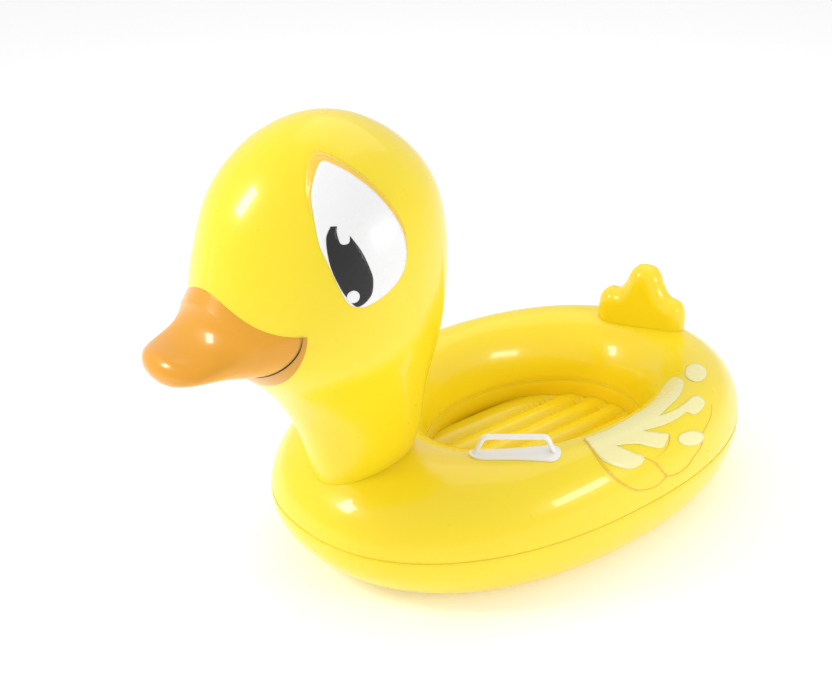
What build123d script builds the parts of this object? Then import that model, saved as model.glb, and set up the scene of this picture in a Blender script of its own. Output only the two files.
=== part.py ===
from build123d import *
import math
import os

# Inflatable ride-on duck for the pool.  The duck looks along -Y, +Z is up, and the origin is on the
# ground under the middle of the ring.  Every chamber is made of welded film panels, each its own solid.

# ---- driving dimensions, millimetres ----
film = 1.2                    # wall of every film panel
weld_gap = 0.2                # clearance between curved panels that are welded together

ring_half_length = 446.0      # outer outline of the ring
ring_half_width = 292.5
ring_squareness = 2.26        # exponent of the outline, 2 is an ellipse
well_half_length = 208.0      # outline of the seat well
well_half_width = 149.5
well_squareness = 2.05
well_centre_y = 48.5          # the well sits behind the middle, so the ring is widest under the head
tube_half_height = 106.0
tube_squash = 1.5             # how far the tube is flattened where it rests
tube_sections = 12            # sections of half the ring

rib_pitch = 42.0              # ribs of the air floor run fore and aft
rib_count = 7
floor_valley_z = 60.0         # top film at the welds between two ribs
floor_base_valley_z = 34.0    # bottom film at the same welds
rib_rise = 12.0
floor_top_margin = 18.0       # the panels reach this far past the well's outline, into the tube's side
floor_base_margin = 35.0
web_end_gap = 24.0            # the webs stop short of the wall to let air pass

head_slimness = 0.85          # width of head and neck over their depth
head_top = (-88.25, 538.0)    # in the head's own frame, as the tables below
bill_vent_radius = 12.0       # hole that lets air from the head into the bill
bill_vent_height = 269.5

tail_side_step = -24.0        # three blunt fingers, standing a little askew on the ring's rear
tail_front_step = 6.25        # forward of the rear tube's middle
tail_turn = 22.0
tail_middle_radius = 24.0
tail_middle_root_radius = 49.3
tail_middle_height = 109.5    # above the ring
tail_side_radius = 21.5
tail_side_reach = 60.0
tail_side_height = 54.5
tail_bar_radius = 21.0
tail_bar_drop = 5.0           # below the centres of the side fingers' round ends
tail_vent_radius = 8.0

handle_station = 51.9         # place round the ring, degrees from the front
handle_inward = 19.5          # from the tube's middle towards the well
handle_turn = 19.5            # from the tube's own direction
flange_length = 140.0
flange_width = 44.0
flange_corner_radius = 21.0
flange_thickness = 3.0
grip_length = 96.0            # straight part of the grip, measured at its corners
grip_rise = 28.0              # grip axis above the film
grip_foot_length = 124.0
grip_width = 12.0
grip_thickness = 8.0
grip_bend_radius = 10.0

ring_valve_station = -100.0   # degrees round the ring from the front, on the duck's right
ring_valve_rise = 38.0        # degrees up the tube from its outer seam
head_valve_section = 3        # entry of the head's table that the valve sits level with
head_valve_turn = 30.0        # from straight back, towards the duck's right
floor_valve_rib = 2           # ribs out from the middle one
floor_valve_forward = 123.5   # from the middle of the well

valve_flange_radius = 15.0    # inflation valves
valve_flange_rise = 1.5       # above the film, on the valve's axis
valve_flange_skirt = 7.0      # reach of the flange's edge down a curved film
collar_radius = 8.5
collar_depth = 9.0
stem_radius = 6.0
stem_bore_radius = 4.0
stem_length = 14.0
stem_rim_radius = 8.0
stem_rim_height = 1.5
slide_gap = 0.3
seat_gap = 0.1
plug_cap_radius = 7.5
plug_cap_height = 1.5
plug_spigot_radius = 3.5
plug_spigot_tip_radius = 2.9
plug_spigot_length = 3.2
plug_hinge_reach = 10.0       # hinge line of the plug, from the valve's axis
plug_strap_width = 5.0
flap_radius = 5.0
flap_thickness = 0.8

# Head, neck and bill have their own frame, at the front tube's middle and the ring's top.
# Sections of head and neck: height, centre along Y, half depth.
head_sections = [
    (-30.5, -31.25, 78.0),
    (29.5, -28.75, 96.0),
    (99.5, -40.75, 115.0),
    (169.5, -65.25, 150.0),
    (229.5, -90.75, 182.0),
    (299.5, -95.75, 192.5),
    (369.5, -89.75, 184.5),
    (429.5, -87.25, 166.0),
    (479.5, -87.25, 134.5),
    (511.5, -87.75, 97.0),
    (530.5, -88.25, 51.0),
]

# Sections of the upper bill: place along Y, half width, bottom, top.
bill_sections = [
    (-202.25, 128.0, 209.5, 329.5),
    (-232.25, 117.0, 206.5, 330.5),
    (-262.25, 98.0, 205.5, 320.5),
    (-297.25, 75.0, 211.5, 288.5),
    (-337.25, 66.0, 219.5, 266.5),
    (-362.25, 45.0, 222.5, 260.5),
]
bill_tip = (-375.25, 241.5)

# Lower bill: one egg-shaped form, of which a crescent shows under the upper bill.
lower_bill_centre = (-197.25, 269.5)
lower_bill_half = (129.0, 92.0, 89.0)

os.makedirs("parts", exist_ok=True)


def finish(builder, name):
    builder.part.label = name
    export_step(builder.part, f"parts/{name}.step")


# ---- ring ----
def outline_point(angle, half_length, half_width, squareness, centre_y):
    c = math.cos(math.radians(angle))
    s = math.sin(math.radians(angle))
    reach = (abs(c) ** squareness + abs(s) ** squareness) ** (-1 / squareness)
    return Vector(half_width * s * reach, centre_y - half_length * c * reach)


def tube_ends(angle):
    outer = outline_point(angle, ring_half_length, ring_half_width, ring_squareness, 0)
    inner = outline_point(angle, well_half_length, well_half_width, well_squareness, well_centre_y)
    return outer, inner


tube_centre_z = tube_half_height - tube_squash
ring_top_z = tube_centre_z + tube_half_height
front_tube_y = (well_centre_y - well_half_length - ring_half_length) / 2
rear_tube_y = (well_centre_y + well_half_length + ring_half_length) / 2


def tube_plane(angle):
    outer, inner = tube_ends(angle)
    middle = (outer + inner) / 2
    across = (outer - inner).normalized()
    return Plane(origin=(middle.X, middle.Y, tube_centre_z), x_dir=across, z_dir=across.cross(Vector(0, 0, 1)))


def tube_half_width(angle):
    outer, inner = tube_ends(angle)
    return (outer - inner).length / 2


def ring_half(start_angle, growth):
    """One solid half of the ring, above its seam with start_angle 0 and below it with 180."""
    with BuildPart() as form:
        for step in range(-1, tube_sections + 2):
            angle = step * 180 / tube_sections
            half_width = tube_half_width(angle) + growth
            with BuildSketch(tube_plane(angle)):
                with BuildLine():
                    EllipticalCenterArc((0, 0), half_width, tube_half_height + growth, start_angle, arc_size=180)
                    Line((-half_width, 0), (half_width, 0))
                make_face()
        loft()
        split(bisect_by=Plane.YZ, keep=Keep.TOP)
        mirror(about=Plane.YZ)
    return form.part


def tube_point(angle, rise_angle):
    """Point and outward normal of the tube's surface."""
    plane = tube_plane(angle)
    c = math.cos(math.radians(rise_angle))
    s = math.sin(math.radians(rise_angle))
    half_width = tube_half_width(angle)
    point = plane.from_local_coords(Vector(half_width * c, tube_half_height * s, 0))
    normal = plane.x_dir * (c / half_width) + Vector(0, 0, 1) * (s / tube_half_height)
    return point, normal.normalized()


# ---- forms that pieces are cut against ----
ring_top_skin = ring_half(0, weld_gap)
ring_bottom_skin = ring_half(180, weld_gap)


def head_form(growth):
    with BuildPart() as form:
        for height, centre_y, half_depth in head_sections:
            with BuildSketch(Plane(origin=(0, front_tube_y + centre_y, ring_top_z + height))):
                Ellipse(half_depth * head_slimness + growth, half_depth + growth)
        top = Vertex(0, front_tube_y + head_top[0], ring_top_z + head_top[1] + growth)
        loft(sections=[*form.pending_faces, top])
    return form.part


def bill_form(growth):
    with BuildPart() as form:
        for y, half_width, bottom, top in bill_sections:
            centre = (0, front_tube_y + y, ring_top_z + (bottom + top) / 2)
            with BuildSketch(Plane(origin=centre, x_dir=(1, 0, 0), z_dir=(0, -1, 0))):
                Ellipse(half_width + growth, (top - bottom) / 2 + growth)
        tip = Vertex(0, front_tube_y + bill_tip[0] - growth, ring_top_z + bill_tip[1])
        loft(sections=[*form.pending_faces, tip])
    return form.part


def lower_bill_form(growth):
    with BuildPart() as form:
        Sphere(1)
        scale(by=tuple(half + growth for half in lower_bill_half))
    y, height = lower_bill_centre
    return form.part.moved(Location((0, front_tube_y + y, ring_top_z + height)))


def rib_edges(margin):
    """Places along X where the floor's films are welded down, and the films' two outer edges."""
    inner = [(i - rib_count / 2) * rib_pitch for i in range(1, rib_count)]
    reach = well_half_width + margin
    return [-reach, *inner, reach]


with BuildPart() as inside_tube_middle:
    with BuildSketch():
        with BuildLine():
            turns = [step * 180 / tube_sections for step in range(2 * tube_sections)]
            Spline(*[tube_plane(turn).origin - Vector(0, 0, tube_centre_z) for turn in turns], periodic=True)
        make_face()
    extrude(amount=ring_top_z)


def floor_film(valley_z, rise, margin, fill_to_z=None):
    """The floor's film, arched between its welds; fill_to_z makes it solid down to that height."""
    edges = rib_edges(margin)
    with BuildPart() as form:
        with BuildSketch(Plane(origin=(0, well_centre_y, 0), x_dir=(1, 0, 0), z_dir=(0, -1, 0))):
            with BuildLine():
                for left, right in zip(edges, edges[1:]):
                    ThreePointArc((left, valley_z), ((left + right) / 2, valley_z + rise), (right, valley_z))
                if fill_to_z is None:
                    for left, right in zip(edges, edges[1:]):
                        crest = ((left + right) / 2, valley_z + rise - film)
                        ThreePointArc((left, valley_z - film), crest, (right, valley_z - film))
                    Line((edges[0], valley_z), (edges[0], valley_z - film))
                    Line((edges[-1], valley_z), (edges[-1], valley_z - film))
                else:
                    start, end = edges[0], edges[-1]
                    Polyline((start, valley_z), (start, fill_to_z), (end, fill_to_z), (end, valley_z))
            make_face()
        extrude(amount=well_half_length + 2 * margin, both=True)
        add(inside_tube_middle.part, mode=Mode.INTERSECT)
    return form.part


tail_plane = Plane(
    origin=(tail_side_step, rear_tube_y - tail_front_step, 0),
    x_dir=(math.cos(math.radians(tail_turn)), math.sin(math.radians(tail_turn)), 0),
    z_dir=(0, 0, 1),
)


standing = (Align.CENTER, Align.CENTER, Align.MIN)
hanging = (Align.CENTER, Align.CENTER, Align.MAX)


def tail_form(growth):
    middle_shoulder_z = ring_top_z + tail_middle_height - tail_middle_radius
    side_shoulder_z = ring_top_z + tail_side_height - tail_side_radius
    sides = (-tail_side_reach, tail_side_reach)
    with BuildPart(tail_plane) as form:
        with Locations((0, 0, tube_centre_z)):
            Cone(
                tail_middle_root_radius + growth,
                tail_middle_radius + growth,
                middle_shoulder_z - tube_centre_z,
                align=standing,
            )
        with Locations((0, 0, middle_shoulder_z)):
            Sphere(tail_middle_radius + growth)
        with Locations([(reach, 0, tube_centre_z) for reach in sides]):
            Cylinder(tail_side_radius + growth, side_shoulder_z - tube_centre_z, align=standing)
        with Locations([(reach, 0, side_shoulder_z) for reach in sides]):
            Sphere(tail_side_radius + growth)
        with Locations(Location((0, 0, side_shoulder_z - tail_bar_drop), (0, 90, 0))):
            Cylinder(tail_bar_radius + growth, 2 * tail_side_reach)
    return form.part


# ---- valves, one for each air chamber ----
rim_seat_z = valve_flange_rise + seat_gap
rim_top_z = rim_seat_z + stem_rim_height
stem_end_z = rim_seat_z - stem_length
hole_length = 4 * collar_depth

ring_valve_point, ring_valve_normal = tube_point(ring_valve_station, ring_valve_rise)
head_valve_height, head_valve_centre_y, head_valve_depth = head_sections[head_valve_section - 1]
head_valve_across = math.sin(math.radians(head_valve_turn))
head_valve_along = math.cos(math.radians(head_valve_turn))
head_valve_point = Vector(
    -head_valve_depth * head_slimness * head_valve_across,
    front_tube_y + head_valve_centre_y + head_valve_depth * head_valve_along,
    ring_top_z + head_valve_height,
)
head_valve_normal = Vector(-head_valve_across / head_slimness, head_valve_along, 0).normalized()
floor_valve_point = Vector(
    floor_valve_rib * rib_pitch, well_centre_y - floor_valve_forward, floor_valley_z + rib_rise
)

valve_planes = {
    "ring": Plane(
        origin=ring_valve_point, x_dir=tube_plane(ring_valve_station).z_dir, z_dir=ring_valve_normal
    ),
    "head": Plane(origin=head_valve_point, x_dir=(0, 0, 1), z_dir=head_valve_normal),
    "floor": Plane(origin=floor_valve_point, x_dir=(0, 1, 0), z_dir=(0, 0, 1)),
}


def valve_hole(name):
    with BuildPart(valve_planes[name]) as hole:
        Cylinder(collar_radius + weld_gap, hole_length)
    return hole.part


# ---- ring panels ----
upper_wall = tube_half_height - film
with BuildPart() as ring_upper_panel:
    for step in range(-1, tube_sections + 2):
        angle = step * 180 / tube_sections
        half_width = tube_half_width(angle)
        with BuildSketch(tube_plane(angle)):
            with BuildLine():
                EllipticalCenterArc((0, 0), half_width, tube_half_height, 0, arc_size=180)
                EllipticalCenterArc((0, 0), half_width - film, upper_wall, 0, arc_size=180)
                Line((half_width, 0), (half_width - film, 0))
                Line((-half_width, 0), (film - half_width, 0))
            make_face()
    loft()
    split(bisect_by=Plane.YZ, keep=Keep.TOP)
    mirror(about=Plane.YZ)
    with Locations((tail_side_step, rear_tube_y - tail_front_step, ring_top_z)):
        Cylinder(tail_vent_radius, tube_half_height, mode=Mode.SUBTRACT)
    add(valve_hole("ring"), mode=Mode.SUBTRACT)
finish(ring_upper_panel, "ring_upper_panel")

# The underside is flattened where the ring rests, so each section ends in a short flat run.
flat_outer = math.degrees(math.acos(tube_centre_z / tube_half_height))
flat_inner = math.degrees(math.acos((tube_centre_z - film) / (tube_half_height - film)))

with BuildPart() as ring_lower_panel:
    for step in range(-1, tube_sections + 2):
        angle = step * 180 / tube_sections
        outer_width = tube_half_width(angle)
        inner_width = outer_width - film
        outer_run = outer_width * math.sin(math.radians(flat_outer))
        inner_run = inner_width * math.sin(math.radians(flat_inner))
        with BuildSketch(tube_plane(angle)):
            with BuildLine():
                EllipticalCenterArc((0, 0), outer_width, tube_half_height, 180, arc_size=90 - flat_outer)
                Line((-outer_run, -tube_centre_z), (outer_run, -tube_centre_z))
                EllipticalCenterArc(
                    (0, 0), outer_width, tube_half_height, 270 + flat_outer, arc_size=90 - flat_outer
                )
                Line((outer_width, 0), (inner_width, 0))
                EllipticalCenterArc((0, 0), inner_width, upper_wall, 270 + flat_inner, arc_size=90 - flat_inner)
                Line((inner_run, film - tube_centre_z), (-inner_run, film - tube_centre_z))
                EllipticalCenterArc((0, 0), inner_width, upper_wall, 180, arc_size=90 - flat_inner)
                Line((-inner_width, 0), (-outer_width, 0))
            make_face()
    loft()
    split(bisect_by=Plane.YZ, keep=Keep.TOP)
    mirror(about=Plane.YZ)
finish(ring_lower_panel, "ring_lower_panel")

# ---- air floor ----
with BuildPart() as floor_top_panel:
    add(floor_film(floor_valley_z, rib_rise, floor_top_margin))
    add(ring_bottom_skin, mode=Mode.SUBTRACT)
    add(valve_hole("floor"), mode=Mode.SUBTRACT)
finish(floor_top_panel, "floor_top_panel")

with BuildPart() as floor_bottom_panel:
    add(floor_film(floor_base_valley_z + film, -rib_rise, floor_base_margin))
    add(ring_bottom_skin, mode=Mode.SUBTRACT)
finish(floor_bottom_panel, "floor_bottom_panel")

web_bottom_z = floor_base_valley_z + film
web_top_z = floor_valley_z - film
for number, web_x in enumerate(rib_edges(0)[1:-1], start=1):
    share = (1 - (abs(web_x) / well_half_width) ** well_squareness) ** (1 / well_squareness)
    web_length = 2 * (well_half_length * share - web_end_gap)
    with BuildPart() as floor_web:
        with Locations((web_x, well_centre_y, web_bottom_z)):
            Box(film, web_length, web_top_z - web_bottom_z, align=standing)
    finish(floor_web, f"floor_web_{number}")

# ---- head and neck ----
with BuildPart() as head_shell:
    add(head_form(0))
    add(head_form(-film), mode=Mode.SUBTRACT)
    add(ring_top_skin, mode=Mode.SUBTRACT)
    vent_start = (0, front_tube_y + bill_sections[0][0], ring_top_z + bill_vent_height)
    with Locations(Location(vent_start, (90, 0, 0))):
        Cylinder(bill_vent_radius, lower_bill_half[1], align=standing, mode=Mode.SUBTRACT)
    add(valve_hole("head"), mode=Mode.SUBTRACT)

for side, kept in (("left", Keep.TOP), ("right", Keep.BOTTOM)):
    with BuildPart() as head_panel:
        add(head_shell.part)
        split(bisect_by=Plane.YZ, keep=kept)
    finish(head_panel, f"head_{side}_panel")

with BuildPart() as bill_upper_panel:
    add(bill_form(0))
    add(bill_form(-film), mode=Mode.SUBTRACT)
    add(head_form(weld_gap), mode=Mode.SUBTRACT)
finish(bill_upper_panel, "bill_upper_panel")

with BuildPart() as bill_lower_panel:
    add(lower_bill_form(0))
    add(lower_bill_form(-film), mode=Mode.SUBTRACT)
    add(head_form(weld_gap), mode=Mode.SUBTRACT)
    add(bill_form(weld_gap), mode=Mode.SUBTRACT)
finish(bill_lower_panel, "bill_lower_panel")

# ---- tail ----
with BuildPart() as tail_shell:
    add(tail_form(0))
    add(tail_form(-film), mode=Mode.SUBTRACT)
    add(ring_top_skin, mode=Mode.SUBTRACT)

tail_seam = Plane(origin=tail_plane.origin, x_dir=tail_plane.x_dir, z_dir=-tail_plane.y_dir)
for side, kept in (("front", Keep.TOP), ("rear", Keep.BOTTOM)):
    with BuildPart() as tail_panel:
        add(tail_shell.part)
        split(bisect_by=tail_seam, keep=kept)
    finish(tail_panel, f"tail_{side}_panel")

# ---- handles ----
station_plane = tube_plane(handle_station)
handle_centre = station_plane.origin - station_plane.x_dir * handle_inward
handle_direction = -station_plane.z_dir.rotate(Axis.Z, handle_turn)
handle_origin = (handle_centre.X, handle_centre.Y, ring_top_z)
handle_plane = Plane(origin=handle_origin, x_dir=handle_direction, z_dir=(0, 0, 1))
grip_plane = Plane(origin=handle_plane.origin, x_dir=handle_direction, z_dir=-handle_plane.y_dir)
flange_skin = ring_half(0, weld_gap + flange_thickness)

with BuildPart() as handle_left:
    with BuildSketch(handle_plane):
        RectangleRounded(flange_length, flange_width, flange_corner_radius)
    extrude(amount=tube_half_height / 2, both=True)
    add(flange_skin, mode=Mode.INTERSECT)
    with BuildLine(grip_plane) as grip_path:
        FilletPolyline(
            (-grip_foot_length / 2, -flange_thickness),
            (-grip_length / 2, grip_rise),
            (grip_length / 2, grip_rise),
            (grip_foot_length / 2, -flange_thickness),
            radius=grip_bend_radius,
        )
    with BuildSketch(Plane(origin=grip_path.line @ 0, x_dir=handle_plane.y_dir, z_dir=grip_path.line % 0)):
        Ellipse(grip_width / 2, grip_thickness / 2)
    sweep()
    add(ring_top_skin, mode=Mode.SUBTRACT)
finish(handle_left, "handle_left")

with BuildPart() as handle_right:
    add(handle_left.part.mirror(Plane.YZ))
finish(handle_right, "handle_right")

# ---- valve pieces ----
valve_films = {
    "ring": ring_top_skin,
    "head": head_form(weld_gap),
    "floor": floor_film(floor_valley_z + weld_gap, rib_rise, floor_top_margin, fill_to_z=floor_base_valley_z),
}

for name, plane in valve_planes.items():
    with BuildPart(plane) as flange_disc:
        with Locations((0, 0, valve_flange_rise)):
            Cylinder(valve_flange_radius, valve_flange_rise + valve_flange_skirt, align=hanging)
    with BuildPart(plane) as collar:
        with Locations((0, 0, valve_flange_rise)):
            Cylinder(collar_radius, valve_flange_rise + collar_depth, align=hanging)
    with BuildPart(plane) as collar_bore:
        Cylinder(stem_radius + slide_gap, hole_length)
    with BuildPart() as valve_flange:
        add(flange_disc.part)
        add(valve_films[name], mode=Mode.SUBTRACT)
        add(collar.part)
        add(collar_bore.part, mode=Mode.SUBTRACT)
    finish(valve_flange, f"{name}_valve_flange")

    with BuildPart(plane) as valve_stem:
        with Locations((0, 0, rim_seat_z)):
            Cylinder(stem_radius, stem_length, align=hanging)
            Cylinder(stem_rim_radius, stem_rim_height, align=standing)
            with Locations((plug_hinge_reach / 2 - seat_gap, 0, 0)):
                Box(plug_hinge_reach, plug_strap_width, stem_rim_height, align=standing)
            Cylinder(stem_bore_radius, hole_length, mode=Mode.SUBTRACT)
    finish(valve_stem, f"{name}_valve_stem")

    with BuildPart(plane) as valve_plug:
        with Locations((0, 0, rim_top_z + seat_gap)):
            Cylinder(plug_cap_radius, plug_cap_height, align=standing)
            Cone(plug_spigot_tip_radius, plug_spigot_radius, plug_spigot_length, align=hanging)
            with Locations((plug_hinge_reach / 2, 0, 0)):
                Box(plug_hinge_reach, plug_strap_width, plug_cap_height, align=standing)
    finish(valve_plug, f"{name}_valve_plug")

    with BuildPart(plane) as valve_flap:
        with Locations((0, 0, stem_end_z - seat_gap)):
            Cylinder(flap_radius, flap_thickness, align=hanging)
    finish(valve_flap, f"{name}_valve_flap")
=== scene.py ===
import bmesh
import bpy
import math
import numpy as np
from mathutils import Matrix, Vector
from mathutils.geometry import delaunay_2d_cdt


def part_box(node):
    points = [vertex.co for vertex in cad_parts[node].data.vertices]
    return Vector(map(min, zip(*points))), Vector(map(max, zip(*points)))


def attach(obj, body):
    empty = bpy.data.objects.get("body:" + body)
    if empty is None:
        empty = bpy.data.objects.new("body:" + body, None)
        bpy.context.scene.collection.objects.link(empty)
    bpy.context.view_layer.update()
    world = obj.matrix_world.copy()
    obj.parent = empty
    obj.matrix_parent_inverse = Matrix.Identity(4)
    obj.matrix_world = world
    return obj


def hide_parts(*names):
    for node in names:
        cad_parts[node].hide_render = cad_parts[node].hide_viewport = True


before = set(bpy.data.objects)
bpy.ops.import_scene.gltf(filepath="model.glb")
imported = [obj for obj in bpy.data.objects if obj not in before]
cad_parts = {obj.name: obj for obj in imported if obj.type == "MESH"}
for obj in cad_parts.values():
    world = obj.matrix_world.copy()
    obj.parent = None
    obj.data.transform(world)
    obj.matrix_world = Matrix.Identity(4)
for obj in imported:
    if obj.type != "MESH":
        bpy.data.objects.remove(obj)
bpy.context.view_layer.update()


# ---- Ring ----
# The body of the float: one air-filled oval tube of glossy yellow vinyl film, an upper and a lower
# panel welded round the tube's outside and round the seat well.  Both welds draw the film in a
# little, and it gathers in small puckers along the outer one.
_, ring_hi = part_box("ring_lower_panel")
ring_length = ring_hi.y
ring_width = ring_hi.x
ring_squareness = 2.26
well_length, well_width, well_middle = 0.208, 0.1495, 0.0485
well_squareness = 2.05
tube_height = 0.106
tube_middle = 0.1045
weld_pinch, well_weld_pinch = 0.0013, 0.0016
pucker_height = 0.0007
puckers_round_ring = 118
yellow = (0.965, 0.75, 0.014, 1)
deep_yellow = (0.96, 0.68, 0.004, 1)


def film_effect():
    """Node group for inflated film: slow tint changes, slight haze and a faint orange-peel height."""
    group = bpy.data.node_groups.new("film effect", "ShaderNodeTree")
    add = group.interface.new_socket
    add("Tint", in_out="INPUT", socket_type="NodeSocketColor")
    add("Deep tint", in_out="INPUT", socket_type="NodeSocketColor")
    add("Haze", in_out="INPUT", socket_type="NodeSocketFloat")
    add("Colour", in_out="OUTPUT", socket_type="NodeSocketColor")
    add("Roughness", in_out="OUTPUT", socket_type="NodeSocketFloat")
    add("Height", in_out="OUTPUT", socket_type="NodeSocketFloat")
    node, link = group.nodes.new, group.links.new
    values, results = node("NodeGroupInput"), node("NodeGroupOutput")
    place = node("ShaderNodeTexCoord")
    slow, fine, ripple = (node("ShaderNodeTexNoise") for _ in range(3))
    for noise, size, detail in ((slow, 5.0, 1.0), (fine, 60.0, 3.0), (ripple, 24.0, 1.0)):
        noise.inputs["Scale"].default_value = size
        noise.inputs["Detail"].default_value = detail
        link(place.outputs["Object"], noise.inputs["Vector"])
    tint = node("ShaderNodeMix")
    tint.data_type = "RGBA"
    spread = node("ShaderNodeMapRange")
    spread.inputs["From Min"].default_value = 0.35
    spread.inputs["From Max"].default_value = 0.75
    spread.inputs["To Max"].default_value = 0.35
    link(slow.outputs["Fac"], spread.inputs["Value"])
    link(spread.outputs["Result"], tint.inputs["Factor"])
    link(values.outputs["Tint"], tint.inputs["A"])
    link(values.outputs["Deep tint"], tint.inputs["B"])
    link(tint.outputs["Result"], results.inputs["Colour"])
    haze = node("ShaderNodeMath")
    haze.operation = "MULTIPLY_ADD"
    haze.inputs[1].default_value = 0.12
    link(fine.outputs["Fac"], haze.inputs[0])
    link(values.outputs["Haze"], haze.inputs[2])
    link(haze.outputs["Value"], results.inputs["Roughness"])
    link(ripple.outputs["Fac"], results.inputs["Height"])
    return group


film_group = film_effect()


def vinyl(name, tint, deep, haze=0.24, ripple=0.0004, glow=0.0, gloss=0.5):
    """Glossy vinyl; glow is the share of its colour that comes from light spread inside the film."""
    made = bpy.data.materials.new(name)
    made.use_nodes = True
    nodes, link = made.node_tree.nodes, made.node_tree.links.new
    shader = nodes["Principled BSDF"]
    effect = nodes.new("ShaderNodeGroup")
    effect.node_tree = film_group
    effect.inputs["Tint"].default_value = tint
    effect.inputs["Deep tint"].default_value = deep
    effect.inputs["Haze"].default_value = haze
    bump = nodes.new("ShaderNodeBump")
    bump.inputs["Strength"].default_value = 0.5
    bump.inputs["Distance"].default_value = ripple
    link(effect.outputs["Height"], bump.inputs["Height"])
    link(bump.outputs["Normal"], shader.inputs["Normal"])
    link(effect.outputs["Colour"], shader.inputs["Base Color"])
    link(effect.outputs["Roughness"], shader.inputs["Roughness"])
    shader.inputs["Coat Weight"].default_value = gloss
    shader.inputs["Coat Roughness"].default_value = 0.06
    shader.inputs["Specular IOR Level"].default_value = 0.4
    if glow:
        shader.inputs["Subsurface Weight"].default_value = glow
        shader.inputs["Subsurface Radius"].default_value = (1.0, 0.6, 0.1)
        shader.inputs["Subsurface Scale"].default_value = 0.02
    return made


yellow_vinyl = vinyl("yellow vinyl film", yellow, deep_yellow, glow=0.25)


def skin(name, points, material, wrap_rows=False, wrap_columns=False):
    """A smooth quad skin over a grid of points; rows or columns that wrap are joined end to end."""
    rows, columns = points.shape[:2]
    faces = []
    for i in range(rows if wrap_rows else rows - 1):
        for j in range(columns if wrap_columns else columns - 1):
            i2, j2 = (i + 1) % rows, (j + 1) % columns
            faces.append((i * columns + j, i * columns + j2, i2 * columns + j2, i2 * columns + j))
    mesh = bpy.data.meshes.new(name)
    mesh.from_pydata(points.reshape(-1, 3).tolist(), [], faces)
    mesh.update()
    return put(name, mesh, material)


def put(name, mesh, material):
    """Merges doubled points, turns the faces outwards, shades smooth and adds the piece to the scene."""
    work = bmesh.new()
    work.from_mesh(mesh)
    bmesh.ops.remove_doubles(work, verts=work.verts, dist=1e-7)
    bmesh.ops.recalc_face_normals(work, faces=work.faces)
    work.to_mesh(mesh)
    work.free()
    mesh.shade_smooth()
    mesh.materials.append(material)
    piece = bpy.data.objects.new(name, mesh)
    bpy.context.collection.objects.link(piece)
    return piece


def outline(turn, half_length, half_width, squareness, centre):
    """A squared oval seen from above, counted from the front; a squareness of 2 is a true oval."""
    c, s = np.cos(turn), np.sin(turn)
    reach = (abs(c) ** squareness + abs(s) ** squareness) ** (-1 / squareness)
    return np.stack([half_width * s * reach, centre - half_length * c * reach], -1)


def on_tube(turn, rise, lift=0.0):
    """Points of the tube's skin: turn runs round the ring from the front, rise up from the outer weld."""
    turn, rise = np.broadcast_arrays(np.asarray(turn, float), np.asarray(rise, float))
    outer = outline(turn, ring_length, ring_width, ring_squareness, 0.0)
    inner = outline(turn, well_length, well_width, well_squareness, well_middle)
    middle, half = (outer + inner) / 2, (outer - inner) / 2
    width = np.linalg.norm(half, axis=-1)
    from_weld = np.minimum(abs(rise), abs(2 * math.pi - rise))
    from_well = abs(rise - math.pi)
    drawn = weld_pinch * np.exp(-((from_weld / 0.04) ** 2))
    drawn = drawn + well_weld_pinch * np.exp(-((from_well / 0.045) ** 2))
    beat = np.sin(puckers_round_ring * turn + 2.5 * np.sin(7 * turn)) * (0.6 + 0.4 * np.sin(19 * turn + 1))
    pucker = pucker_height * beat * np.exp(-((from_weld / 0.22) ** 2)) * np.minimum(from_weld / 0.05, 1)
    across = half / width[..., None]
    out = (width + lift - drawn + pucker) * np.cos(rise)
    xy = middle + across * out[..., None]
    z = tube_middle + (tube_height + lift) * np.sin(rise)
    return np.concatenate([xy, np.maximum(z, 0.0)[..., None]], -1)


turns = np.linspace(0, 2 * math.pi, 720, endpoint=False)
rises = np.linspace(0, 2 * math.pi, 160, endpoint=False)
rises = rises - 0.35 * np.sin(2 * rises) / 2
ring_film = skin("ring_film", on_tube(turns[:, None], rises[None, :]), yellow_vinyl, True, True)
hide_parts("ring_upper_panel", "ring_lower_panel")
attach(ring_film, "root")

half_lip, lip_root, lip_nose = 0.0007, -0.004, 0.0005
for side, rise, reach in (("outer", 0.0, 0.0002), ("well", math.pi, 0.0004)):
    corner = [
        (lip_root, -half_lip), (reach, -half_lip), (reach + lip_nose, 0.0), (reach, half_lip),
        (lip_root, half_lip),
    ]
    lip = np.stack([on_tube(turns, rise) for _ in corner], 1)
    away = on_tube(turns, rise, lift=0.001) - on_tube(turns, rise)
    away = away / np.linalg.norm(away, axis=-1)[:, None]
    for place, (out, up) in enumerate(corner):
        lip[:, place] += away * (out + 0.001) + np.array([0, 0, up])
    weld = skin(f"{side}_weld_lip", lip, yellow_vinyl, True, True)
    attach(weld, "root")


# ---- Air floor ----
# A flat chamber of the same film across the bottom of the seat well, welded down in seven ribs that
# run fore and aft.  The film arches between the welds and wrinkles finely along them.
rib_pitch = 0.042
outer_rib_middle, outer_rib_half = 0.131, 0.026
floor_tuck = 0.010
floor_length, floor_width = well_length + floor_tuck, well_width + floor_tuck
wrinkle_height, wrinkle_pitch = 0.0006, 0.013


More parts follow.
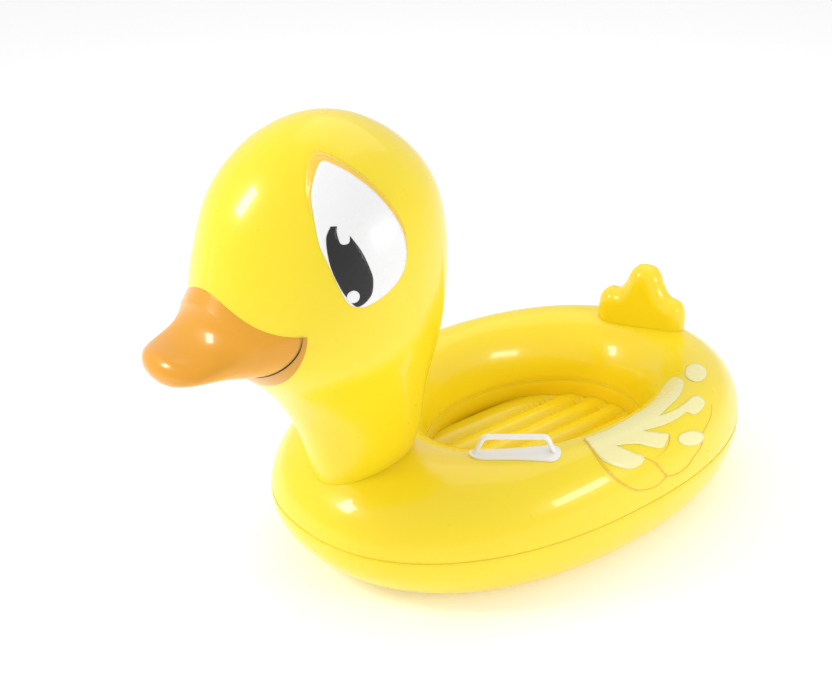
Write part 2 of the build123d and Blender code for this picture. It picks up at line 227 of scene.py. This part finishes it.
def floor_skin(name, weld_z, rise):
    """One film of the floor: it meets the webs at weld_z and arches by rise between them."""
    columns = floor_width * np.sin(np.linspace(-math.pi / 2, math.pi / 2, 361))[:, None]
    along = np.sin(np.linspace(-math.pi / 2, math.pi / 2, 181))[None, :]
    left_over = 1 - np.minimum(abs(columns) / floor_width, 1) ** well_squareness
    reach = floor_length * left_over ** (1 / well_squareness)
    y = well_middle + reach * along
    x = columns + 0 * y
    arch = np.clip(abs((x / rib_pitch + 0.5) % 1 - 0.5) * 2, 0, 1)
    outermost = abs(x) > 2.5 * rib_pitch
    outer_arch = np.clip(abs(abs(x) - outer_rib_middle) / outer_rib_half, 0, 1)
    arch = np.where(outermost, outer_arch, arch)
    near_wall = np.clip((reach * (1 - abs(along))) / 0.03, 0, 1)
    weld_depth = 0.35 + 0.65 * near_wall * near_wall * (3 - 2 * near_wall)
    wrinkle = wrinkle_height * np.sin(2 * math.pi * y / wrinkle_pitch + 3 * np.sin(40 * x))
    wrinkle = wrinkle * np.exp(-(((1 - arch) / 0.25) ** 2))
    z = weld_z + rise * (1 - arch**2.4 * weld_depth) + wrinkle
    return skin(name, np.stack([x, y, z], -1), yellow_vinyl)


floor_top = floor_skin("floor_top_film", 0.060, 0.012)
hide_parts("floor_top_panel", *[f"floor_web_{n}" for n in range(1, 7)])
floor_base = floor_skin("floor_base_film", 0.034, -0.012)
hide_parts("floor_bottom_panel")
for film in (floor_top, floor_base):
    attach(film, "root")


# ---- Head and neck ----
# A tall chamber of yellow film welded into the front of the ring: a narrow neck that swells into a
# round head, made of a left and a right panel.
head_top_z = 0.7485
head_slimness = 0.85
# Height, centre along Y and half depth of the head's sections.
head_shape = np.array([
    (0.170, -0.3370, 0.0700), (0.230, -0.3309, 0.0930), (0.300, -0.3411, 0.1116), (0.370, -0.3632, 0.1437),
    (0.440, -0.3935, 0.1818), (0.510, -0.3985, 0.1926), (0.580, -0.3925, 0.1848), (0.650, -0.3899, 0.1619),
    (head_top_z, -0.3911, 0.0),
])


def curve_through(knots, values, places):
    """A smooth curve (natural cubic spline) through values at the knots, read at the places."""
    knots, values, places = (np.asarray(part, float) for part in (knots, values, places))
    step, count = np.diff(knots), len(knots)
    slope = np.diff(values) / step
    table, right = np.eye(count), np.zeros(count)
    for k in range(1, count - 1):
        table[k, k - 1 : k + 2] = step[k - 1], 2 * (step[k - 1] + step[k]), step[k]
        right[k] = 6 * (slope[k] - slope[k - 1])
    bend = np.linalg.solve(table, right)
    k = np.clip(np.searchsorted(knots, places) - 1, 0, count - 2)
    a, b, h = knots[k + 1] - places, places - knots[k], step[k]
    cubic = (bend[k] * a**3 + bend[k + 1] * b**3) / (6 * h)
    return cubic + (values[k] / h - bend[k] * h / 6) * a + (values[k + 1] / h - bend[k + 1] * h / 6) * b


def head_section(z):
    """Centre along Y and half depth of the head at a height."""
    centre = curve_through(head_shape[:, 0], head_shape[:, 1], z)
    depth = np.sqrt(np.maximum(curve_through(head_shape[:, 0], head_shape[:, 2] ** 2, z), 0))
    return centre, depth


heights = head_shape[0, 0] + (head_top_z - head_shape[0, 0]) * np.sin(np.linspace(0, math.pi / 2, 200))
centre, depth = head_section(heights[:, None])
around = np.linspace(0, 2 * math.pi, 256, endpoint=False)[None, :]
weld_dip = 0.0007 * np.exp(-((np.sin(around) / 0.02) ** 2))
head_points = np.stack([
    head_slimness * (depth - weld_dip) * np.sin(around),
    centre - (depth - weld_dip) * np.cos(around),
    heights[:, None] + 0 * around,
], -1)
head_film = skin("head_film", head_points, yellow_vinyl, wrap_columns=True)
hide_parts("head_left_panel", "head_right_panel")
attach(head_film, "root")


# ---- Bill ----
# Two chambers of orange film: a broad upper bill that flows out of the face and narrows to a blunt
# spoon, and a lower bill that shows as a cheek under it.  A dark printed line marks the smile.
orange = (0.79, 0.36, 0.012, 1)
deep_orange = (0.70, 0.27, 0.005, 1)
orange_vinyl = vinyl("orange vinyl film", orange, deep_orange, haze=0.26, glow=0.15)
# Distance over the film from the root, place along Y, half width, bottom and top of the sections.
bill_shape = np.array([
    (0.070, -0.600, 0.075, 0.422, 0.499), (0.112, -0.640, 0.067, 0.430, 0.477),
    (0.147, -0.665, 0.044, 0.432, 0.473), (0.169, -0.6742, 0.023, 0.4415, 0.4635),
    (0.192, -0.678, 0.0, 0.452, 0.452),
])
root_width, root_z, root_rise, root_drop = 0.127, 0.500, 0.043, 0.085


def on_face(x, z, lift):
    """Points on the front of the head, lift metres forward of its film."""
    middle, deep = head_section(z)
    y = middle - np.sqrt(np.maximum(deep**2 - (x / head_slimness) ** 2, 0)) - lift
    return np.stack([x, y, z], -1)


def bill_root(angle):
    """The line on the face where the upper bill starts: a bell above, a half oval below."""
    x = root_width * np.cos(angle)
    bell = root_rise * (1 + np.cos(math.pi * x / root_width)) / 2
    return on_face(x, root_z + np.where(np.sin(angle) >= 0, bell, root_drop * np.sin(angle)), 0.0005)


rim = np.linspace(0, 2 * math.pi, 256, endpoint=False)
section_points = [bill_root(rim)]
for _, y, half_width, bottom, top in bill_shape:
    z = (bottom + top) / 2 + (top - bottom) / 2 * np.sin(rim)
    section_points.append(np.stack([half_width * np.cos(rim), y + 0 * rim, z], -1))
section_points = np.array(section_points)
reaches = np.concatenate([[0.0], bill_shape[:, 0]])
fine = np.linspace(0, reaches[-1], 120)
bill_points = np.empty((len(fine), len(rim), 3))
for column in range(len(rim)):
    for axis in range(3):
        bill_points[:, column, axis] = curve_through(reaches, section_points[:, column, axis], fine)
face = on_face(bill_points[..., 0], bill_points[..., 2], 0.0007)
# The bill leaves the face in a soft hollow, which widens away from the root.
hollow = 0.0001 + 0.040 * np.minimum(fine / 0.03, 1)[:, None]
apart = np.clip(1 - abs(bill_points[..., 1] - face[..., 1]) / hollow, 0, 1)
bill_points[..., 1] = np.minimum(bill_points[..., 1], face[..., 1]) - apart**2 * hollow / 4
tucked = bill_points[:1] * np.array([0.97, 1, 1]) + np.array([0, 0.012, 0])
upper_bill = skin("upper_bill_film", np.concatenate([tucked, bill_points]), orange_vinyl, wrap_columns=True)
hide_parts("bill_upper_panel")

cheek_width, cheek_drop = 0.1305, 0.107
side_to_side = np.sin(np.linspace(-math.pi / 2, math.pi / 2, 161))[:, None] * cheek_width
down = np.sin(np.linspace(0, math.pi / 2, 61))[None, :]
narrowing = np.sqrt(np.maximum(1 - (side_to_side / cheek_width) ** 2, 0))
cheek_z = root_z - cheek_drop * narrowing * down
puff = 0.0004 + 0.0018 * np.sqrt(1 - down**2 * 0.999) * narrowing
lower_bill = skin("lower_bill_film", on_face(side_to_side + 0 * down, cheek_z, puff), orange_vinyl)
lower_bill.modifiers.new("film thickness", "SOLIDIFY").thickness = 0.0003
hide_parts("bill_lower_panel")
for film in (upper_bill, lower_bill):
    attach(film, "root")


# ---- Printed eyes and smile ----
# Inks printed on the film before it is welded: white eyes with black pupils and a glint, a soft
# orange line round the back of each eye, and the smile line at the corner of the bill.
def ink(name, colour):
    """Printing ink, a little less glossy than the film under it."""
    return vinyl(name, colour, tuple(0.96 * part for part in colour[:3]) + (1,), haze=0.22, gloss=0.2)


white_ink = ink("white ink", (0.90, 0.90, 0.90, 1))
black_ink = ink("black ink", (0.012, 0.012, 0.013, 1))
shade_ink = ink("shade ink", (0.95, 0.60, 0.07, 1))
halo_ink = ink("halo ink", (0.955, 0.68, 0.045, 1))


def rounded(points, corners=(), steps=10):
    """A closed smooth outline through the points; it turns sharply at those numbered in corners."""
    points = np.asarray(points, float)
    count, made = len(points), []
    for k in range(count):
        a, b, c, d = (points[(k + s) % count] for s in (-1, 0, 1, 2))
        out = (c - b) * 0.5 if k in corners else (c - a) / 2
        into = (c - b) * 0.5 if (k + 1) % count in corners else (d - b) / 2
        for t in np.arange(steps) / steps:
            h = (2 * t**3 - 3 * t**2 + 1, t**3 - 2 * t**2 + t, 3 * t**2 - 2 * t**3, t**3 - t**2)
            made.append(h[0] * b + h[1] * out + h[2] * c + h[3] * into)
    return np.array(made)


def printed(name, shape, place, lift, fineness, material, scale=(1, 1)):
    """Ink in the shape of a flat outline, laid on a curved film by place(points, lift)."""
    flat = shape * np.array(scale)
    low, high = flat.min(0), flat.max(0)
    columns, rows = (np.arange(low[k], high[k], fineness) for k in (0, 1))
    grid = np.stack(np.meshgrid(columns, rows), -1).reshape(-1, 2)
    start, end = flat, np.roll(flat, -1, 0)
    crossing = (start[:, 1] > grid[:, None, 1]) != (end[:, 1] > grid[:, None, 1])
    rise = np.where(end[:, 1] == start[:, 1], 1e-12, end[:, 1] - start[:, 1])
    where = (end[:, 0] - start[:, 0]) * (grid[:, None, 1] - start[:, 1]) / rise + start[:, 0]
    inside = (crossing & (grid[:, None, 0] < where)).sum(1) % 2 == 1
    apart = np.linalg.norm(grid[:, None] - flat[None], axis=-1).min(1) > fineness * 0.5
    points = np.concatenate([flat, grid[inside & apart]])
    edges = [(k, (k + 1) % len(flat)) for k in range(len(flat))]
    corners, _, faces, *_ = delaunay_2d_cdt([Vector(p) for p in points], edges, [], 1, 1e-9)
    corners = np.array([tuple(c) for c in corners]) / np.array(scale)
    mesh = bpy.data.meshes.new(name)
    mesh.from_pydata(place(corners, lift).tolist(), [], [tuple(f) for f in faces])
    piece = put(name, mesh, material)
    thickness = piece.modifiers.new("ink thickness", "SOLIDIFY")
    thickness.thickness = 0.00025
    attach(piece, "root")
    return piece


def stroke(points, widths, steps=8):
    """The outline of a line of changing width drawn through the points."""
    points = np.asarray(points, float)
    t = np.arange(len(points))
    fine = np.linspace(0, len(points) - 1, (len(points) - 1) * steps + 1)
    line = np.stack([curve_through(t, points[:, k], fine) for k in (0, 1)], -1)
    half = np.interp(fine, t, widths)[:, None] / 2
    along = np.gradient(line, axis=0)
    side = np.stack([-along[:, 1], along[:, 0]], -1) / np.linalg.norm(along, axis=1)[:, None]
    return np.concatenate([line + side * half, (line - side * half)[::-1]])


def cheek(side):
    """Lays flat points (y, z) on one side of the head."""
    def place(points, lift):
        y, z = points[:, 0], points[:, 1]
        middle, deep = head_section(z)
        x = head_slimness * np.sqrt(np.maximum(deep**2 - (y - middle) ** 2, 0))
        out = np.stack([x / head_slimness**2, y - middle, 0 * z], -1)
        out = out / np.linalg.norm(out, axis=1)[:, None]
        return (np.stack([x, y, z], -1) + out * lift) * np.array([side, 1, 1])
    return place


eye_white = rounded([
    (-0.4440, 0.7117), (-0.4600, 0.7000), (-0.4760, 0.6790), (-0.4833, 0.6560), (-0.4868, 0.6236),
    (-0.4820, 0.5980), (-0.4667, 0.5460), (-0.4518, 0.5337), (-0.4355, 0.5330), (-0.4069, 0.5428),
    (-0.3812, 0.5594), (-0.3690, 0.5806), (-0.3675, 0.6083), (-0.3765, 0.6365), (-0.3960, 0.6702),
    (-0.4171, 0.6946), (-0.4317, 0.7062),
])
eye_pupil = rounded([
    (-0.4690, 0.6412), (-0.4612, 0.6408), (-0.4635, 0.6340), (-0.4631, 0.6227), (-0.4605, 0.6180),
    (-0.4541, 0.6176), (-0.4501, 0.6205), (-0.4484, 0.6274), (-0.4371, 0.6057), (-0.4296, 0.5834),
    (-0.4263, 0.5653), (-0.4322, 0.5448), (-0.4518, 0.5340), (-0.4661, 0.5513), (-0.4734, 0.5684),
    (-0.4788, 0.5887), (-0.4799, 0.6093), (-0.4770, 0.6290),
], corners=(0, 1, 7))
shade_line = [
    (-0.4840, 0.6560), (-0.4765, 0.6790), (-0.4600, 0.7005), (-0.4440, 0.7125), (-0.4300, 0.7055),
    (-0.4171, 0.6946), (-0.3960, 0.6702), (-0.3765, 0.6365), (-0.3675, 0.6083), (-0.3690, 0.5806),
]
eye_shade = stroke(shade_line, [0.001, 0.006, 0.010, 0.011, 0.011, 0.011, 0.009, 0.007, 0.004, 0.001])
eye_halo = stroke(shade_line, [0.003, 0.010, 0.016, 0.018, 0.018, 0.017, 0.015, 0.012, 0.008, 0.003])
ring_of_angles = np.linspace(0, 2 * math.pi, 40, endpoint=False)
round_form = np.stack([np.cos(ring_of_angles), np.sin(ring_of_angles)], -1)
glint_middle, glint_half = np.array([-0.4563, 0.5488]), np.array([0.0085, 0.0083])
eye_glint = glint_middle + glint_half * round_form
smile_radius = 0.0019
for side, name in ((1, "left"), (-1, "right")):
    printed(f"{name}_eye_halo", eye_halo, cheek(side), 0.0002, 0.004, halo_ink)
    printed(f"{name}_eye_shade", eye_shade, cheek(side), 0.0004, 0.004, shade_ink)
    printed(f"{name}_eye_white", eye_white, cheek(side), 0.0006, 0.004, white_ink)
    printed(f"{name}_eye_pupil", eye_pupil, cheek(side), 0.0010, 0.003, black_ink)
    printed(f"{name}_eye_glint", eye_glint, cheek(side), 0.0014, 0.003, white_ink)
    sweep = np.linspace(0.02, -1.30, 60)
    tube = np.stack([bill_root(sweep)] * 10, 1)
    tube[:, :, 0] *= side
    thick = smile_radius * np.interp(sweep, [-1.30, -0.9, -0.3, 0.0, 0.02], [0.3, 0.8, 1.0, 1.2, 0.4])
    turn = np.linspace(0, 2 * math.pi, 10, endpoint=False)[None, :]
    slant = np.array([0.75 * side, -0.65, 0.0])
    circle = np.cos(turn)[..., None] * slant + np.sin(turn)[..., None] * np.array([0, 0, 1])
    tube += thick[:, None, None] * circle
    smile_line = skin(f"{name}_smile_line", tube, black_ink, wrap_columns=True)
    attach(smile_line, "root")


# ---- Printed wing ----
# Pale feathers and drops printed on the left of the ring, inside a thin scalloped outline, before the
# upper panel is welded.
wing_ink = ink("cream ink", (0.93, 0.86, 0.42, 1))
line_ink = ink("ochre line ink", (0.90, 0.58, 0.03, 1))
# All outlines of the print are in degrees: round the ring from the front, and up from the outer weld.
feathers = rounded([
    (75, 97), (85, 98), (96, 104), (105, 107), (120, 117), (127, 118), (130, 113), (129, 105), (123, 92),
    (114, 84), (108, 82), (102, 78), (107, 74), (112, 72.5), (117, 72), (119.5, 67), (119, 57), (115, 54),
    (112, 56), (110.5, 63), (107, 63), (101, 65), (94, 71), (98, 61), (101, 54), (99, 48), (97, 45),
    (94, 51), (90, 61), (84, 69), (88, 55), (91, 46), (90, 40.5), (87, 40), (85, 43), (82, 50), (79, 60),
    (77, 74),
], corners=(0, 11, 22, 24, 29))
# Middle of each drop and its two half axes.
drops = [((132, 85.5), (1, -12), (6.5, 4.5)), ((107.4, 37.3), (4.5, -7), (0.8, 6.5))]
scallops = [
    stroke([
        (75, 94), (77, 72), (79, 55), (82, 38), (85, 27), (88, 19), (92, 14.5), (95, 15), (97, 18),
    ], [0.7] * 9),
    stroke([(97, 18), (100, 14.5), (104, 15), (107, 20), (110, 24), (111.5, 31)], [0.7] * 6),
    stroke([(112, 34), (115, 38), (118, 42), (121, 50)], [0.7, 0.6, 0.5, 0.3]),
    stroke([(91, 45), (94, 35), (95.5, 26), (97, 18)], [0.4, 0.6, 0.6, 0.6]),
    stroke([(101, 54), (100, 46), (97.5, 41), (95, 39.5)], [0.5, 0.6, 0.5, 0.3]),
]
spread = (1.0, 0.55)


def wing_place(points, lift):
    """Lays flat points, in degrees, on the ring's film."""
    return on_tube(np.radians(points[:, 0]), np.radians(points[:, 1]), lift)


wing_pieces = [printed("wing_feathers", feathers, wing_place, 0.0008, 1.0, wing_ink, spread)]
for number, (middle, long_axis, short_axis) in enumerate(drops, 1):
    drop = np.array(middle) + round_form @ np.array([long_axis, short_axis])
    wing_pieces.append(printed(f"wing_drop_{number}", drop, wing_place, 0.0008, 1.0, wing_ink, spread))
for number, line in enumerate(scallops, 1):
    wing_pieces.append(printed(f"wing_line_{number}", line, wing_place, 0.0004, 1.0, line_ink, spread))


# ---- Tail ----
# A small three-fingered cushion of yellow film, two panels welded round their edge, set into the
# rear of the ring a little askew.
tail_middle, tail_turn, tail_radius = Vector((-0.024, 0.345, 0)), math.radians(22), 0.026
tail_outline = rounded([
    (-0.080, 0.185), (-0.086, 0.214), (-0.085, 0.238), (-0.080, 0.253), (-0.066, 0.265), (-0.049, 0.266),
    (-0.037, 0.282), (-0.029, 0.302), (-0.018, 0.315), (-0.008, 0.319), (0.005, 0.319), (0.017, 0.315),
    (0.027, 0.302), (0.034, 0.284), (0.046, 0.266), (0.060, 0.261), (0.070, 0.254), (0.076, 0.237),
    (0.077, 0.215), (0.075, 0.185),
], corners=(0, 19), steps=12)
hub = np.array([-0.003, 0.230])
shares = np.sin(np.linspace(0, math.pi / 2, 48))[:, None, None]
flat = hub + (tail_outline - hub)[None] * shares
edge_start, edge_step = tail_outline, np.roll(tail_outline, -1, 0) - tail_outline
gap = flat[:, :, None, :] - edge_start
share = np.clip((gap * edge_step).sum(-1) / (edge_step**2).sum(-1), 0, 1)
inset = np.linalg.norm(gap - share[..., None] * edge_step, axis=-1).min(-1)
puffed = tail_radius * np.sqrt(1 - (1 - np.clip(inset / tail_radius, 0, 1)) ** 2)
for _ in range(6):
    puffed[1:-1] = (puffed[:-2] + puffed[2:] + 2 * puffed[1:-1]) / 4
    puffed[:-1] = (np.roll(puffed[:-1], 1, 1) + np.roll(puffed[:-1], -1, 1) + 2 * puffed[:-1]) / 4
puffed[0] = puffed[0].mean()
# The rear face from its middle to the edge, then the front face back to its middle.
both = np.concatenate([puffed[:-1], -puffed[::-1]])
flat = np.concatenate([flat[:-1], flat[::-1]])
tail_points = np.stack([
    tail_middle.x + flat[..., 0] * math.cos(tail_turn) - both * math.sin(tail_turn),
    tail_middle.y + flat[..., 0] * math.sin(tail_turn) + both * math.cos(tail_turn),
    flat[..., 1],
], -1)
tail_film = skin("tail_film", tail_points, yellow_vinyl, wrap_columns=True)
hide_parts("tail_front_panel", "tail_rear_panel")
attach(tail_film, "root")


# ---- Grab handles ----
# One-piece mouldings of white flexible vinyl, one on each side of the ring: a grip that stands on a
# flat flange with rounded corners, which is welded to the ring's upper panel.
white, deep_white = (0.90, 0.90, 0.90, 1), (0.84, 0.85, 0.86, 1)
handle_vinyl = vinyl("white moulded vinyl", white, deep_white, haze=0.3, ripple=0.0001)
for name in ("handle_left", "handle_right"):
    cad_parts[name].data.materials.clear()
    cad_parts[name].data.materials.append(handle_vinyl)


# ---- Inflation valves ----
# Safety valves, one for each chamber: a welded flange, a stem that presses down flush, a flap inside
# it and a plug on a short strap, all of clear-white soft vinyl.
milky, deep_milky = (0.86, 0.88, 0.86, 1), (0.80, 0.83, 0.82, 1)
valve_vinyl = vinyl("clear-white valve vinyl", milky, deep_milky, haze=0.3, ripple=0.00005)
for chamber in ("ring", "head", "floor"):
    for part in ("flange", "stem", "plug", "flap"):
        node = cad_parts[f"{chamber}_valve_{part}"]
        node.data.materials.clear()
        node.data.materials.append(valve_vinyl)


# ---- Studio ----
# A wide white floor, a soft overhead light, a tall key light at the front and a low one at the side.
floor_paint = bpy.data.materials.new("white floor")
floor_paint.use_nodes = True
floor_shader = floor_paint.node_tree.nodes["Principled BSDF"]
floor_shader.inputs["Base Color"].default_value = (0.95, 0.95, 0.95, 1)
floor_shader.inputs["Roughness"].default_value = 0.9
floor_shader.inputs["Emission Color"].default_value = (1, 1, 1, 1)
floor_shader.inputs["Emission Strength"].default_value = 0.2
bpy.ops.mesh.primitive_plane_add(size=40)
studio_floor = bpy.context.object
studio_floor.name = "studio_floor"
studio_floor.data.materials.append(floor_paint)


def softbox(name, turn, height, distance, size, power, target=(0, -0.1, 0.3)):
    """A soft area light; turn is its direction from the front (-Y) towards +X, both in degrees."""
    turn, height = math.radians(turn), math.radians(height)
    data = bpy.data.lights.new(name, "AREA")
    data.shape, data.size, data.size_y, data.energy = "RECTANGLE", size[0], size[1], power
    lamp = bpy.data.objects.new(name, data)
    way = Vector((math.sin(turn) * math.cos(height), -math.cos(turn) * math.cos(height), math.sin(height)))
    lamp.location = Vector(target) + way * distance
    lamp.rotation_euler = way.to_track_quat("Z", "Y").to_euler()
    bpy.context.collection.objects.link(lamp)


softbox("key softbox", -22, 36, 2.6, (0.5, 0.85), 24)
softbox("side softbox", 112, 14, 2.4, (0.8, 0.4), 10)
softbox("overhead softbox", -150, 62, 3.4, (3.0, 2.6), 18)

world = bpy.data.worlds.new("studio air")
world.use_nodes = True
world.node_tree.nodes["Background"].inputs["Color"].default_value = (1, 1, 1, 1)
world.node_tree.nodes["Background"].inputs["Strength"].default_value = 0.74
bpy.context.scene.world = world
bpy.context.scene.view_settings.view_transform = "Standard"

camera_data = bpy.data.cameras.new("camera")
camera_data.lens = 59.596
camera_data.sensor_width = 36
camera = bpy.data.objects.new("camera", camera_data)
camera.location = (1.4554, -1.4484, 1.2810)
camera.rotation_euler = (math.radians(90 - 25.8208), 0, math.radians(49.8447))
bpy.context.collection.objects.link(camera)
bpy.context.scene.camera = camera
